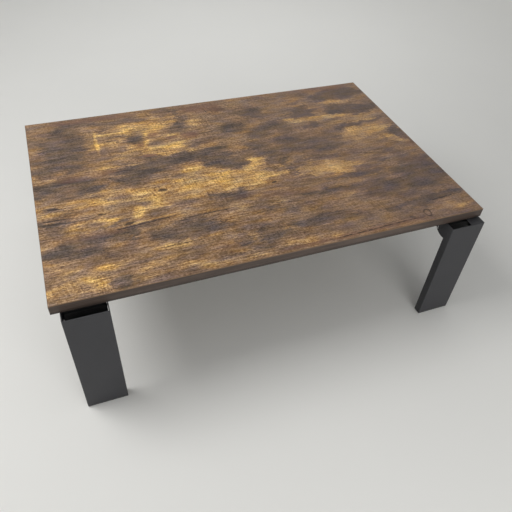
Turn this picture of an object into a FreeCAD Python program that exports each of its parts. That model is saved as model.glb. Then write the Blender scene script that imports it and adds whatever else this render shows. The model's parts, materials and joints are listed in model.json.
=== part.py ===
"""Low heated table with a loose wood-print top, a recessed frame, a heater and four folding legs.

All sizes are millimetres. +Z is up, +X runs along the long side, and the front is -Y.
The origin is on the floor, under the centre of the tabletop.
"""
import FreeCAD, Part
import Sketcher
import os
import re

# Driving sizes. Each can be set by itself, and everything else is worked out from them.
SIZES = {
    # tabletop
    "table_height": 405,
    "top_length": 1200,
    "top_depth": 800,
    "top_thick": 28,
    "face_thick": 0.8,
    "band_thick": 1,
    "band_round": 0.8,
    "frame_shift": 10,
    # frame
    "frame_inset": 15,
    "rail_thick": 20,
    "rail_depth": 50,
    "rail_behind_pivot": 40,
    "cross_width": 45,
    "cross_thick": 22,
    "cross_pitch": 285,
    "brace_side": 42,
    "brace_height": 40,
    "brace_cut": 26,
    "pad_thick": 3,
    "pad_radius": 9,
    "pad_inset": 60,
    # legs
    "leg_inset": 10,
    "leg_width": 110,
    "leg_thick": 25,
    "leg_wall": 2.5,
    "leg_round": 2,
    "leg_proud": 25,
    "leg_gap": 5,
    "glide_thick": 2,
    "glide_margin": 1,
    "plug_height": 15,
    "plug_play": 0.1,
    "cap_width": 41.5,
    "cap_thick": 1.5,
    "cap_depth": 30,
    "cap_skirt": 12,
    # leg hinges and locks
    "pivot_back": 32,
    "pivot_drop": 19,
    "ear_round": 40,
    "ear_back": 8,
    "ear_drop": 12,
    "crown_round": 21,
    "head_margin": 2,
    "pin_radius": 4,
    "pin_play": 0.05,
    "bar_radius": 3,
    "bar_play": 0.1,
    "bar_gap": 0.3,
    "lobe_round": 17,
    "lock_travel": 4.5,
    "bracket_thick": 3,
    "bracket_play": 1,
    "bracket_drop": 2,
    "bracket_tall": 44,
    "web_reach": 16,
    "spring_radius": 2.6,
    "spring_wire": 0.8,
    "spring_turns": 8,
    "spring_inset": 9,
    "spring_gap": 0.3,
    # screws
    "screw_radius": 2,
    "screw_play": 0.05,
    "screw_bite": 14,
    "head_radius": 4.5,
    "head_thick": 2.4,
    "recess_width": 1,
    "recess_depth": 1.2,
    "plate_screw_inset": 20,
    "plate_screw_edge": 8,
    # heater casing, reflector and guard
    "heater_side": 300,
    "heater_height": 60,
    "case_wall": 1.2,
    "bay_length": 32,
    "lip_width": 10,
    "tab_length": 15,
    "tab_width": 30,
    "tab_place": 110,
    "vent_width": 3,
    "vent_height": 26,
    "vent_pitch": 10,
    "vent_count": 9,
    "reflector_wall": 0.8,
    "reflector_play": 0.2,
    "reflector_rim": 6,
    "reflector_flat": 120,
    "reflector_rise": 42,
    "guard_thick": 5,
    "guard_margin": 2,
    "guard_rim": 12,
    "guard_screw_length": 10,
    "slat_width": 2,
    "slat_pitch": 13,
    "slat_count": 21,
    "stay_width": 4,
    "stay_pitch": 92,
    "stay_count": 2,
    # heating elements and what switches them
    "element_pitch": 84,
    "element_drop": 15,
    "tube_radius": 6,
    "tube_wall": 1,
    "coil_radius": 3,
    "coil_wire": 0.9,
    "coil_turns": 22,
    "holder_thick": 14,
    "holder_width": 20,
    "holder_below": 10,
    "holder_gap": 6,
    "element_play": 0.1,
    "thermostat_radius": 9,
    "thermostat_height": 9,
    "thermostat_base": 26,
    "base_thick": 2,
    "fuse_radius": 2.5,
    "fuse_length": 22,
    "fuse_place": 45,
    "clip_width": 8,
    "clip_thick": 7,
    "clip_height": 9,
    "terminal_length": 44,
    "terminal_width": 11,
    "terminal_height": 15,
    "terminal_poles": 3,
    "well_radius": 2.2,
    "well_depth": 6,
    # cord inlet
    "inlet_width": 32,
    "inlet_height": 20,
    "inlet_depth": 16,
    "inlet_wall": 2.4,
    "inlet_flange": 3,
    "flange_thick": 2,
    "inlet_drop": 40,
    "inlet_pin_radius": 1.6,
    "inlet_pin_length": 10,
    "inlet_pin_pitch": 8,
    "inlet_pin_tail": 4,
    # how far a cutting shape runs past what it cuts
    "overrun": 1,
}

# Worked-out levels and places, as expressions on the driving sizes.
UNDERSIDE = "(table_height - top_thick)"
FRAME_TOP = f"({UNDERSIDE} - pad_thick)"
RAIL_FOOT = f"({FRAME_TOP} - rail_depth)"
LEG_TOP = f"({UNDERSIDE} - leg_gap)"
PIVOT_LEVEL = f"({LEG_TOP} - pivot_drop)"
PIVOT_REACH = "(top_depth / 2 + leg_proud - leg_thick - pivot_back)"
RAIL_FACE = f"({PIVOT_REACH} - rail_behind_pivot)"
RAIL_BACK = f"({RAIL_FACE} - rail_thick)"
HALF_FRAME = "(top_length / 2 - frame_inset)"
LEG_PLACE = "(top_length / 2 - leg_inset - leg_width / 2)"

EAR_Y = "(ear_back - pivot_back)"
EAR_Z = f"({LEG_TOP} - ear_drop)"
HEAD_FLOOR = f"({EAR_Z} - ear_round - head_margin)"
LEG_FRONT = "(-pivot_back - leg_thick)"
HALF_LEG = "(leg_width / 2)"
HALF_BORE = "(leg_width / 2 - leg_wall)"
HALF_BRACKET = "(leg_width / 2 - leg_wall - bracket_play)"
BRACKET_TOP = f"({LEG_TOP} - bracket_drop)"
BAR_OUT = "(lobe_round + bar_gap + bar_radius)"
BAR_IN = "(lobe_round + bar_gap + bar_radius - lock_travel)"
NOTCH = "(bar_radius + bar_gap)"

CASE_TOP = f"({FRAME_TOP} - cross_thick)"
CASE_FOOT = f"({CASE_TOP} - heater_height)"
LIP_TOP = f"({CASE_FOOT} + case_wall)"
HALF_CASE = "(heater_side / 2)"
WINDOW_X = "(heater_side / 2 - bay_length)"
WINDOW_Y = "(heater_side / 2 - lip_width)"
REFLECTOR_TOP = f"({LIP_TOP} + reflector_rise)"
REFLECTOR_ROOF = f"({REFLECTOR_TOP} - reflector_wall)"
HALF_REFLECTOR = f"({WINDOW_X} + reflector_rim)"
ELEMENT_Z = f"({REFLECTOR_ROOF} - element_drop)"
HOLDER_OUT = f"({HALF_REFLECTOR} - reflector_wall - holder_gap)"
HOLDER_IN = f"({HOLDER_OUT} - holder_thick)"
TUBE_END = f"({HOLDER_OUT} - holder_thick / 2)"
GUARD_FOOT = f"({CASE_FOOT} - guard_thick)"
INLET_Z = f"({CASE_TOP} - inlet_drop)"

CORNERS = {
    "front_left": (-1, -1),
    "front_right": (1, -1),
    "back_left": (-1, 1),
    "back_right": (1, 1),
}
# The photographed right-hand leg has a cap over the outer part of its head, the left-hand one has none.
CAPPED = ("front_right", "back_right")

doc = FreeCAD.newDocument("heated_table")
sheet = doc.addObject("Spreadsheet::Sheet", "sizes")
for row, (alias, value) in enumerate(SIZES.items(), start=1):
    sheet.set(f"A{row}", alias)
    sheet.set(f"B{row}", str(value))
    sheet.setAlias(f"B{row}", alias)
doc.recompute()

# Two lengths or directions count as alike within this.
NEAR = 1e-6

NODES = []
AXES = {
    "X": FreeCAD.Rotation(FreeCAD.Vector(0, 1, 0), 90),
    "Y": FreeCAD.Rotation(FreeCAD.Vector(1, 0, 0), -90),
    "Z": FreeCAD.Rotation(),
}


def tied(text):
    """An expression's text with each size read from the sheet."""
    return re.sub(r"[a-z][a-z_]+", lambda word: f"sizes.{word.group()}", text)


def number(text):
    """What an expression on the sizes comes to."""
    return float(sheet.evalExpression(tied(text)))


def tie(thing, prop, text):
    """Bind one property to an expression on the sizes."""
    thing.setExpression(prop, tied(text))


def place(thing, point):
    """Bind where a piece stands to three expressions."""
    for axis, text in zip("xyz", point):
        tie(thing, f"Placement.Base.{axis}", text)
    return thing


def block(name, low, size):
    """A rectangular block by its low corner and its sides."""
    solid = doc.addObject("Part::Box", name)
    for prop, text in zip(("Length", "Width", "Height"), size):
        tie(solid, prop, text)
    return place(solid, low)


def rod(name, start, radius, length, axis="Z"):
    """A round rod that starts at a point and runs along one axis."""
    solid = doc.addObject("Part::Cylinder", name)
    solid.Placement = FreeCAD.Placement(FreeCAD.Vector(), AXES[axis])
    tie(solid, "Radius", radius)
    tie(solid, "Height", length)
    return place(solid, start)


def join(name, solids):
    """The pieces as one solid."""
    union = doc.addObject("Part::MultiFuse", name)
    union.Shapes = solids
    return union


def overlap(name, solids):
    """What the shapes have in common."""
    common = doc.addObject("Part::MultiCommon", name)
    common.Shapes = solids
    return common


def cut(name, base, tools):
    """The base with the tools taken out of it."""
    result = doc.addObject("Part::Cut", name)
    result.Base = base
    result.Tool = tools[0] if len(tools) == 1 else join(f"{name}_tools", tools)
    return result


def group(name, solids):
    """Several like solids that share one node."""
    compound = doc.addObject("Part::Compound", name)
    compound.Links = solids
    return compound


def node(label, solid, point=("frame_shift", "0", "0"), turn=0):
    """Name a finished sub-part and set it in its place."""
    solid.Label = label
    solid.Placement = FreeCAD.Placement(FreeCAD.Vector(), FreeCAD.Rotation(FreeCAD.Vector(0, 0, 1), turn))
    place(solid, point)
    NODES.append(solid)
    return solid


def corner_node(label, solid, corner):
    """Set a leg's piece at its corner. A back corner is the front one turned half round."""
    side, row = CORNERS[corner]
    point = (f"frame_shift + {side} * {LEG_PLACE}", f"{row} * {PIVOT_REACH}", "0")
    return node(f"{label}_{corner}", solid, point, 180 if row > 0 else 0)


def sketch_on(body, role, level):
    """A sketch on one of the body's own planes, moved along that plane's normal."""
    flat = body.newObject("Sketcher::SketchObject", f"{body.Name}_sketch")
    plane = next(part for part in body.Origin.OriginFeatures if part.Role == role)
    flat.AttachmentSupport = [(plane, "")]
    flat.MapMode = "FlatFace"
    tie(flat, "AttachmentOffset.Base.z", level)
    return flat


def hold(flat, kind, value_text, *ends):
    """Add one dimension to a sketch and bind it."""
    index = flat.addConstraint(Sketcher.Constraint(kind, *ends, number(value_text)))
    tie(flat, f"Constraints[{index}]", value_text)


def draw(flat, corners):
    """A closed outline of straight lines through the given corners."""
    points = [FreeCAD.Vector(number(across), number(up), 0) for across, up in corners]
    first = flat.GeometryCount
    for start, end in zip(points, points[1:] + points[:1]):
        flat.addGeometry(Part.LineSegment(start, end), False)
    count = len(points)
    for step, (across, up) in enumerate(corners):
        line = first + step
        flat.addConstraint(Sketcher.Constraint("Coincident", line, 2, first + (step + 1) % count, 1))
        hold(flat, "DistanceX", across, -1, 1, line, 1)
        hold(flat, "DistanceY", up, -1, 1, line, 1)


def draw_box(flat, low, high):
    """A rectangle by two opposite corners."""
    (left, foot), (right, top) = low, high
    draw(flat, [(left, foot), (right, foot), (right, top), (left, top)])


def extrude(body, kind, flat, length):
    """A pad or a pocket of one sketch."""
    feature = body.newObject(f"PartDesign::{kind}", f"{body.Name}_{kind.lower()}")
    feature.Profile = flat
    tie(feature, "Length", length)
    flat.Visibility = False
    body.Tip = feature
    return feature


def board(name, low, high, level, height):
    """A board or block drawn in plan and raised to its height."""
    body = doc.addObject("PartDesign::Body", name)
    flat = sketch_on(body, "XY_Plane", level)
    draw_box(flat, low, high)
    extrude(body, "Pad", flat, height)
    return body


def edges_along(feature, direction, test):
    """The names of a feature's straight edges that run one way and pass a test on their middle."""
    doc.recompute()
    names = []
    for index, edge in enumerate(feature.Shape.Edges, start=1):
        along = edge.tangentAt(edge.FirstParameter)
        if abs(abs(along.dot(direction)) - 1) < NEAR and test(edge.CenterOfMass):
            names.append(f"Edge{index}")
    return names


def round_edges(body, feature, names, radius):
    """Round the named edges of a feature."""
    fillet = body.newObject("PartDesign::Fillet", f"{body.Name}_fillet")
    fillet.Base = (feature, names)
    tie(fillet, "Radius", radius)
    body.Tip = fillet
    return fillet


def screw(name, start, axis, inwards, length):
    """A pan head screw with a cross recess. Its head starts at a face and its shank runs inwards."""
    turned = AXES[axis] if inwards else AXES[axis] * FreeCAD.Rotation(FreeCAD.Vector(1, 0, 0), 180)
    shank = rod(f"{name}_shank", ("0", "0", "0"), "screw_radius", length)
    head = rod(f"{name}_head", ("0", "0", "-head_thick"), "head_radius", "head_thick")
    slots = []
    crossed = (("recess_width", "head_radius"), ("head_radius", "recess_width"))
    for turn, (across, along) in enumerate(crossed):
        low = (f"-{across} / 2", f"-{along} / 2", "-head_thick - overrun")
        slots.append(block(f"{name}_slot{turn}", low, (across, along, "recess_depth + overrun")))
    whole = cut(f"{name}_cut", join(f"{name}_blank", [shank, head]), slots)
    whole.Placement = FreeCAD.Placement(FreeCAD.Vector(), turned)
    return place(whole, start)


# Tabletop

def tabletop_core():
    """Particle board core of the loose top."""
    low = ("band_thick - top_length / 2", "band_thick - top_depth / 2")
    high = ("top_length / 2 - band_thick", "top_depth / 2 - band_thick")
    core = board("core", low, high, f"{UNDERSIDE} + face_thick", "top_thick - 2 * face_thick")
    node("tabletop_core", core, ("0", "0", "0"))


def tabletop_face(label, level):
    """One printed sheet that covers the core above or below."""
    low = ("band_thick - top_length / 2", "band_thick - top_depth / 2")
    high = ("top_length / 2 - band_thick", "top_depth / 2 - band_thick")
    node(label, board(f"{label}_body", low, high, level, "face_thick"), ("0", "0", "0"))


def edge_band(label, half_length, reach, turn):
    """One glued edge strip with softened long edges."""
    low = (f"-{half_length}", f"-{reach}")
    high = (half_length, f"band_thick - {reach}")
    body = board(f"{label}_body", low, high, UNDERSIDE, "top_thick")
    outer = -number(reach)
    names = edges_along(body.Tip, FreeCAD.Vector(1, 0, 0), lambda middle: abs(middle.y - outer) < NEAR)
    round_edges(body, body.Tip, names, "band_round")
    node(label, body, ("0", "0", "0"), turn)


# Frame

def rail_screw_places():
    """Where the screws of one hinge bracket stand, across and up, in the leg's own frame."""
    across = f"({HALF_BRACKET} - plate_screw_inset)"
    low = f"({BRACKET_TOP} - bracket_tall + plate_screw_edge)"
    high = f"({BRACKET_TOP} - plate_screw_edge)"
    return [(f"{side} * {across}", level) for side in (-1, 1) for level in (low, high)]


def long_rail(label, row):
    """Front or back rail, drilled for the bracket screws."""
    ends = sorted((RAIL_FACE, RAIL_BACK), key=number)
    low, high = (ends if row > 0 else [f"-{end}" for end in reversed(ends)])
    rail_size = (f"2 * {HALF_FRAME}", "rail_thick", "rail_depth")
    rail = block(f"{label}_board", (f"-{HALF_FRAME}", low, RAIL_FOOT), rail_size)
    start = high if row > 0 else low
    drills = []
    for side in (-1, 1):
        for step, (across, level) in enumerate(rail_screw_places()):
            face = f"{start} - screw_bite" if row > 0 else f"{start} - overrun"
            point = (f"{side} * {LEG_PLACE} + {across}", face, level)
            radius = "screw_radius + screw_play"
            drills.append(rod(f"{label}_drill{side + 1}{step}", point, radius, "screw_bite + overrun", "Y"))
    node(label, cut(f"{label}_cut", rail, drills))


def short_rail(label, side):
    """End rail between the two long rails."""
    inner = f"({HALF_FRAME} - rail_thick)"
    low, high = (inner, HALF_FRAME) if side > 0 else (f"-{HALF_FRAME}", f"-{inner}")
    node(label, board(f"{label}_body", (low, f"-{RAIL_BACK}"), (high, RAIL_BACK), RAIL_FOOT, "rail_depth"))


def cross_rail(label, side):
    """Flat rail that carries one side of the heater, drilled for its screws."""
    middle = f"({side} * cross_pitch / 2)"
    low = (f"{middle} - cross_width / 2", f"-{RAIL_BACK}", CASE_TOP)
    rail = block(f"{label}_board", low, ("cross_width", f"2 * {RAIL_BACK}", "cross_thick"))
    drills = []
    for row in (-1, 1):
        point = (f"{side} * ({HALF_CASE} + tab_length / 2)", f"{row} * tab_place", f"{CASE_TOP} - overrun")
        radius = "screw_radius + screw_play"
        drills.append(rod(f"{label}_drill{row + 1}", point, radius, "screw_bite + overrun"))
    node(label, cut(f"{label}_cut", rail, drills))


def corner_brace(corner):
    """Glued wooden block that squares one corner of the frame, with its inner corner cut off."""
    side, row = CORNERS[corner]
    across = f"({HALF_FRAME} - rail_thick)"
    body = doc.addObject("PartDesign::Body", f"brace_{corner}")
    flat = sketch_on(body, "XY_Plane", f"{FRAME_TOP} - brace_height")
    inner_x = f"({across} - brace_side)"
    inner_y = f"({RAIL_BACK} - brace_side)"
    outline = [(across, RAIL_BACK), (inner_x, RAIL_BACK), (inner_x, f"{inner_y} + brace_cut"),
               (f"{inner_x} + brace_cut", inner_y), (across, inner_y)]
    corners = [(f"{side} * {x}", f"{row} * ({y})") for x, y in outline[:2]]
    corners += [(f"{side} * ({x})", f"{row} * ({y})") for x, y in outline[2:]]
    draw(flat, corners)
    extrude(body, "Pad", flat, "brace_height")
    node(f"corner_brace_{corner}", body)


def top_pads():
    """Rubber discs on the rails that keep the loose top from sliding."""
    discs = []
    line = f"({RAIL_FACE} - rail_thick / 2)"
    for row in (-1, 1):
        for side in (-1, 0, 1):
            point = (f"{side} * ({HALF_FRAME} - pad_inset)", f"{row} * {line}", FRAME_TOP)
            discs.append(rod(f"pad{row + 1}{side + 1}", point, "pad_radius", "pad_thick"))
    for side in (-1, 1):
        point = (f"{side} * ({HALF_FRAME} - rail_thick / 2)", "0", FRAME_TOP)
        discs.append(rod(f"pad_end{side + 1}", point, "pad_radius", "pad_thick"))
    node("top_pads", group("pads", discs))


# Legs and their hinges

def ear_blank(name):
    """The rounded lobe behind the head of a leg, over its whole width.

    It is a disc of the ear's radius, cut level with the leg's top. Behind the pivot its upper corner is
    rounded about the pivot, so that it clears the top while the leg folds.
    """
    wide = f"2 * {HALF_LEG}"
    disc = rod(f"{name}_disc", (f"-{HALF_LEG}", EAR_Y, EAR_Z), "ear_round", wide, "X")
    low = (f"-{HALF_LEG}", "-pivot_back - leg_thick / 2", f"{EAR_Z} - ear_round - overrun")
    reach = "pivot_back + leg_thick / 2 + ear_round"
    span = (wide, reach, "ear_drop + ear_round + overrun")
    lobe = overlap(f"{name}_lobe", [disc, block(f"{name}_span", low, span)])
    quarter_size = (wide, "ear_round", "pivot_drop + overrun")
    quarter = block(f"{name}_quarter", (f"-{HALF_LEG}", "0", PIVOT_LEVEL), quarter_size)
    crown = rod(f"{name}_crown", (f"-{HALF_LEG}", "0", PIVOT_LEVEL), "crown_round", wide, "X")
    return cut(f"{name}_ears", lobe, [cut(f"{name}_waste", quarter, [crown])])


def leg(corner):
    """Box section leg with an open head. Its side walls run on backwards as two rounded ears."""
    name = f"leg_{corner}"
    low = (f"-{HALF_LEG}", LEG_FRONT)
    high = (HALF_LEG, "-pivot_back")
    tube = board(f"{name}_tube", low, high, "glide_thick", f"{LEG_TOP} - glide_thick")
    upright = edges_along(tube.Tip, FreeCAD.Vector(0, 0, 1), lambda middle: True)
    round_edges(tube, tube.Tip, upright, "leg_round")
    bore_low = (f"-{HALF_BORE}", f"{LEG_FRONT} + leg_wall", "glide_thick - overrun")
    bore_size = (f"2 * {HALF_BORE}", "leg_thick - 2 * leg_wall", f"{LEG_TOP} - glide_thick + 2 * overrun")
    bore = block(f"{name}_bore", bore_low, bore_size)
    head_low = (f"-{HALF_BORE}", f"{LEG_FRONT} + leg_wall", HEAD_FLOOR)
    head_tall = f"{LEG_TOP} - {HEAD_FLOOR} + overrun"
    head_size = (f"2 * {HALF_BORE}", "leg_thick + pivot_back + ear_round", head_tall)
    head = block(f"{name}_head", head_low, head_size)
    through = f"2 * {HALF_LEG} + 2 * overrun"
    left = f"-{HALF_LEG} - overrun"
    pin_hole = rod(f"{name}_pin_hole", (left, "0", PIVOT_LEVEL), "pin_radius + pin_play", through, "X")
    slot_radius = "bar_radius + bar_play"
    slot = [rod(f"{name}_slot{index}", (left, "0", f"{PIVOT_LEVEL} - {depth}"), slot_radius, through, "X")
            for index, depth in enumerate((BAR_OUT, BAR_IN))]
    slot_low = (left, f"-({slot_radius})", f"{PIVOT_LEVEL} - {BAR_OUT}")
    slot.append(block(f"{name}_slot", slot_low, (through, f"2 * ({slot_radius})", "lock_travel")))
    blank = join(f"{name}_blank", [tube, ear_blank(name)])
    corner_node("leg", cut(f"{name}_cut", blank, [bore, head, pin_hole] + slot), corner)


def foot_glide(corner):
    """Plastic foot: a sole plate with a hollow plug that fills the end of the leg."""
    name = f"glide_{corner}"
    low = (f"glide_margin - {HALF_LEG}", f"{LEG_FRONT} + glide_margin")
    high = (f"{HALF_LEG} - glide_margin", "-pivot_back - glide_margin")
    sole = board(f"{name}_sole", low, high, "0", "glide_thick")
    plug_low = (f"plug_play - {HALF_BORE}", f"{LEG_FRONT} + leg_wall + plug_play", "0")
    plug_size = (f"2 * ({HALF_BORE} - plug_play)", "leg_thick - 2 * leg_wall - 2 * plug_play",
                 "glide_thick + plug_height")
    plug = block(f"{name}_plug", plug_low, plug_size)
    well_low = (f"leg_wall - {HALF_BORE}", f"{LEG_FRONT} + 2 * leg_wall", "glide_thick")
    well_size = (f"2 * ({HALF_BORE} - leg_wall)", "leg_thick - 4 * leg_wall", "plug_height + overrun")
    well = block(f"{name}_well", well_low, well_size)
    corner_node("foot_glide", cut(f"{name}_cut", join(f"{name}_blank", [sole, plug]), [well]), corner)


def head_cap(corner):
    """Plate that closes the outer part of a leg's head, with a skirt down the inside of the front wall."""
    name = f"cap_{corner}"
    side, row = CORNERS[corner]
    low = f"{HALF_BORE} - cap_width" if side * row < 0 else f"-{HALF_BORE}"
    start = f"{LEG_FRONT} + leg_wall"
    plate_size = ("cap_width", "cap_depth", "cap_thick")
    skirt_size = ("cap_width", "cap_thick", "cap_skirt")
    plate = block(f"{name}_plate", (low, start, f"{LEG_TOP} - cap_thick"), plate_size)
    skirt = block(f"{name}_skirt", (low, start, f"{LEG_TOP} - cap_skirt"), skirt_size)
    corner_node("head_cap", join(f"{name}_join", [plate, skirt]), corner)


def pivot_pin(corner):
    """Pin that joins both ears to the bracket, peened flush at its ends."""
    pin = rod(f"pin_{corner}", (f"-{HALF_LEG}", "0", PIVOT_LEVEL), "pin_radius", "leg_width", "X")
    corner_node("pivot_pin", group(f"pin_{corner}_set", [pin]), corner)


def lock_bar(corner):
    """Bar in the ears' slots that drops into the notches of the bracket. It is drawn pushed out."""
    start = (f"-{HALF_LEG}", "0", f"{PIVOT_LEVEL} - {BAR_OUT}")
    bar = rod(f"bar_{corner}", start, "bar_radius", "leg_width", "X")
    corner_node("lock_bar", group(f"bar_{corner}_set", [bar]), corner)


def coil(radius, wire, turns, height):
    """A helical wire of whole turns that rises from the origin, as one swept tube."""
    line = Part.makeHelix(height / turns, height, radius)
    start = FreeCAD.Vector(radius, 0, 0)
    along = line.Edges[0].tangentAt(line.Edges[0].FirstParameter)
    section = Part.Wire([Part.Circle(start, along, wire / 2).toShape()])
    return Part.Wire(line.Edges).makePipeShell([section], True, True)


def lock_springs(corner):
    """Two small springs that pull the lock bar towards the pivot pin."""
    radius, wire = number("spring_radius"), number("spring_wire")
    foot = number(f"{PIVOT_LEVEL} - {BAR_OUT} + bar_radius + spring_gap") + wire / 2
    top = number(f"{PIVOT_LEVEL} - pin_radius - spring_gap") - wire / 2
    reach = number(f"{HALF_BRACKET} - bracket_thick - spring_inset")
    coils = []
    for side in (-1, 1):
        spring = coil(radius, wire, number("spring_turns"), top - foot)
        spring.translate(FreeCAD.Vector(side * reach, 0, foot))
        coils.append(spring)
    shape = doc.addObject("Part::Feature", f"springs_{corner}")
    shape.Shape = Part.makeCompound(coils)
    corner_node("lock_springs", shape, corner)


def hinge_bracket(corner):
    """Steel bracket screwed to the rail: a web behind the leg's head and two cheeks that carry the pin.

    Each cheek has a notch for the lock bar with the leg down and one with it folded, and a stop beside each.
    """
    name = f"bracket_{corner}"
    foot = f"({BRACKET_TOP} - bracket_tall)"
    wide = f"2 * {HALF_BRACKET}"
    left = f"-{HALF_BRACKET}"
    plate_low = (left, "rail_behind_pivot - bracket_thick", foot)
    solids = [block(f"{name}_plate", plate_low, (wide, "bracket_thick", "bracket_tall"))]
    solids.append(rod(f"{name}_lobe", (left, "0", PIVOT_LEVEL), "lobe_round", wide, "X"))
    arm_size = (wide, "rail_behind_pivot", f"{BRACKET_TOP} - {PIVOT_LEVEL} - {NOTCH}")
    solids.append(block(f"{name}_arm", (left, "0", f"{PIVOT_LEVEL} + {NOTCH}"), arm_size))
    nose_size = (wide, f"web_reach - {NOTCH}", "bracket_tall")
    solids.append(block(f"{name}_nose", (left, "-web_reach", foot), nose_size))
    past = f"{wide} + 2 * overrun"
    start = f"{left} - overrun"
    tools = [rod(f"{name}_pin_hole", (start, "0", PIVOT_LEVEL), "pin_radius + pin_play", past, "X")]
    tools.append(rod(f"{name}_notch_low", (start, "0", f"{PIVOT_LEVEL} - {BAR_IN}"), NOTCH, past, "X"))
    tools.append(rod(f"{name}_notch_back", (start, BAR_IN, PIVOT_LEVEL), NOTCH, past, "X"))
    deep = f"lobe_round - {BAR_IN} + overrun"
    low_slot = (start, f"-{NOTCH}", f"{PIVOT_LEVEL} - lobe_round - overrun")
    tools.append(block(f"{name}_slot_low", low_slot, (past, f"2 * {NOTCH}", deep)))
    back_slot = (start, BAR_IN, f"{PIVOT_LEVEL} - {NOTCH}")
    tools.append(block(f"{name}_slot_back", back_slot, (past, deep, f"2 * {NOTCH}")))
    inner = f"({HALF_BRACKET} - bracket_thick)"
    gap_low = (f"-{inner}", "bracket_thick - web_reach", f"{foot} - overrun")
    gap_deep = "web_reach + rail_behind_pivot - 2 * bracket_thick"
    gap_size = (f"2 * {inner}", gap_deep, "bracket_tall + 2 * overrun")
    tools.append(block(f"{name}_gap", gap_low, gap_size))
    for index, (across, level) in enumerate(rail_screw_places()):
        point = (across, "rail_behind_pivot - bracket_thick - overrun", level)
        radius = "screw_radius + screw_play"
        tools.append(rod(f"{name}_drill{index}", point, radius, "bracket_thick + 2 * overrun", "Y"))
    corner_node("hinge_bracket", cut(f"{name}_cut", join(f"{name}_blank", solids), tools), corner)


def bracket_screws():
    """Four screws through each bracket into its rail."""
    screws = []
    length = "screw_bite + bracket_thick"
    for corner, (side, row) in CORNERS.items():
        face = f"{row} * ({RAIL_FACE} + bracket_thick)"
        for index, (across, level) in enumerate(rail_screw_places()):
            point = (f"{side} * {LEG_PLACE} + {across}", face, level)
            screws.append(screw(f"plate_screw_{corner}{index}", point, "Y", row < 0, length))
    node("bracket_screws", group("plate_screws", screws))


# Heater

def heater_casing():
    """Pressed steel box, open below inside its lips, with fixing tabs, side vents and the inlet's hole."""
    shell_size = ("heater_side", "heater_side", "heater_height")
    shell = block("case_shell", (f"-{HALF_CASE}", f"-{HALF_CASE}", CASE_FOOT), shell_size)
    radius = "screw_radius + screw_play"
    tabs = []
    holes = []
    for side in (-1, 1):
        for row in (-1, 1):
            low_x = HALF_CASE if side > 0 else f"-{HALF_CASE} - tab_length"
            low = (low_x, f"{row} * tab_place - tab_width / 2", f"{CASE_TOP} - case_wall")
            tabs.append(block(f"case_tab{side + 1}{row + 1}", low, ("tab_length", "tab_width", "case_wall")))
            across = f"{side} * ({HALF_CASE} + tab_length / 2)"
            point = (across, f"{row} * tab_place", f"{CASE_TOP} - case_wall - overrun")
            holes.append(rod(f"case_hole{side + 1}{row + 1}", point, radius, "case_wall + 2 * overrun"))
    room_low = (f"case_wall - {HALF_CASE}", f"case_wall - {HALF_CASE}", LIP_TOP)
    room_side = "heater_side - 2 * case_wall"
    room_size = (room_side, room_side, "heater_height - 2 * case_wall")
    window_low = (f"-{WINDOW_X}", f"-{WINDOW_Y}", f"{CASE_FOOT} - overrun")
    window_size = (f"2 * {WINDOW_X}", f"2 * {WINDOW_Y}", "case_wall + 2 * overrun")
    mouth_low = (f"{HALF_CASE} - case_wall - overrun", "-inlet_width / 2", f"{INLET_Z} - inlet_height / 2")
    mouth_size = ("case_wall + 2 * overrun", "inlet_width", "inlet_height")
    holes += [block("case_room", room_low, room_size), block("case_window", window_low, window_size)]
    holes.append(block("case_mouth", mouth_low, mouth_size))
    for index, point in enumerate(guard_screw_places(f"{CASE_FOOT} - overrun")):
        holes.append(rod(f"case_drill{index}", point, radius, "case_wall + 2 * overrun"))
    vent_foot = f"{CASE_TOP} - case_wall - reflector_wall - vent_height"
    vent_size = ("vent_width", "heater_side + 2 * overrun", "vent_height")
    for index in range(int(number("vent_count"))):
        middle = f"({index} - (vent_count - 1) / 2) * vent_pitch - vent_width / 2"
        low = (middle, f"-{HALF_CASE} - overrun", vent_foot)
        holes.append(block(f"case_vent{index}", low, vent_size))
    node("heater_casing", cut("case_cut", join("case_blank", [shell] + tabs), holes))


def trough(name, drop, past):
    """The trough's outline across Y, lowered by a wall, as a body that runs along X."""
    body = doc.addObject("PartDesign::Body", name)
    reach = f"({HALF_REFLECTOR} + {past})"
    flat = sketch_on(body, "YZ_Plane", f"-{reach}")
    half_flat = f"(reflector_flat / 2 - {drop} / 2)"
    half_mouth = f"({WINDOW_Y} - {drop})"
    foot = f"{LIP_TOP} - {past}"
    roof = f"{REFLECTOR_TOP} - {drop}"
    draw(flat, [(f"-{half_mouth}", foot), (half_mouth, foot), (half_flat, roof), (f"-{half_flat}", roof)])
    extrude(body, "Pad", flat, f"2 * {reach}")
    return body


def reflector():
    """Polished pan over the elements. Its rim lies on the casing's lips."""
    rim_x = HALF_REFLECTOR
    rim_y = f"({HALF_CASE} - case_wall - reflector_play)"
    rim_size = (f"2 * {rim_x}", f"2 * {rim_y}", "reflector_wall")
    rim = block("pan_rim", (f"-{rim_x}", f"-{rim_y}", LIP_TOP), rim_size)
    outer = join("pan_outer", [trough("pan_skin", "0", "0"), rim])
    inner_x = f"({HALF_REFLECTOR} - reflector_wall)"
    hollow_low = (f"-{inner_x}", f"-{WINDOW_Y}", f"{LIP_TOP} - overrun")
    hollow_size = (f"2 * {inner_x}", f"2 * {WINDOW_Y}", "reflector_rise + 2 * overrun")
    hollow = block("pan_span", hollow_low, hollow_size)
    room = overlap("pan_room", [trough("pan_inside", "reflector_wall", "overrun"), hollow])
    node("reflector", cut("pan_cut", outer, [room]))


def element_places():
    """The two elements' places across the heater."""
    return [f"({row} * element_pitch / 2)" for row in (-1, 1)]


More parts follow.
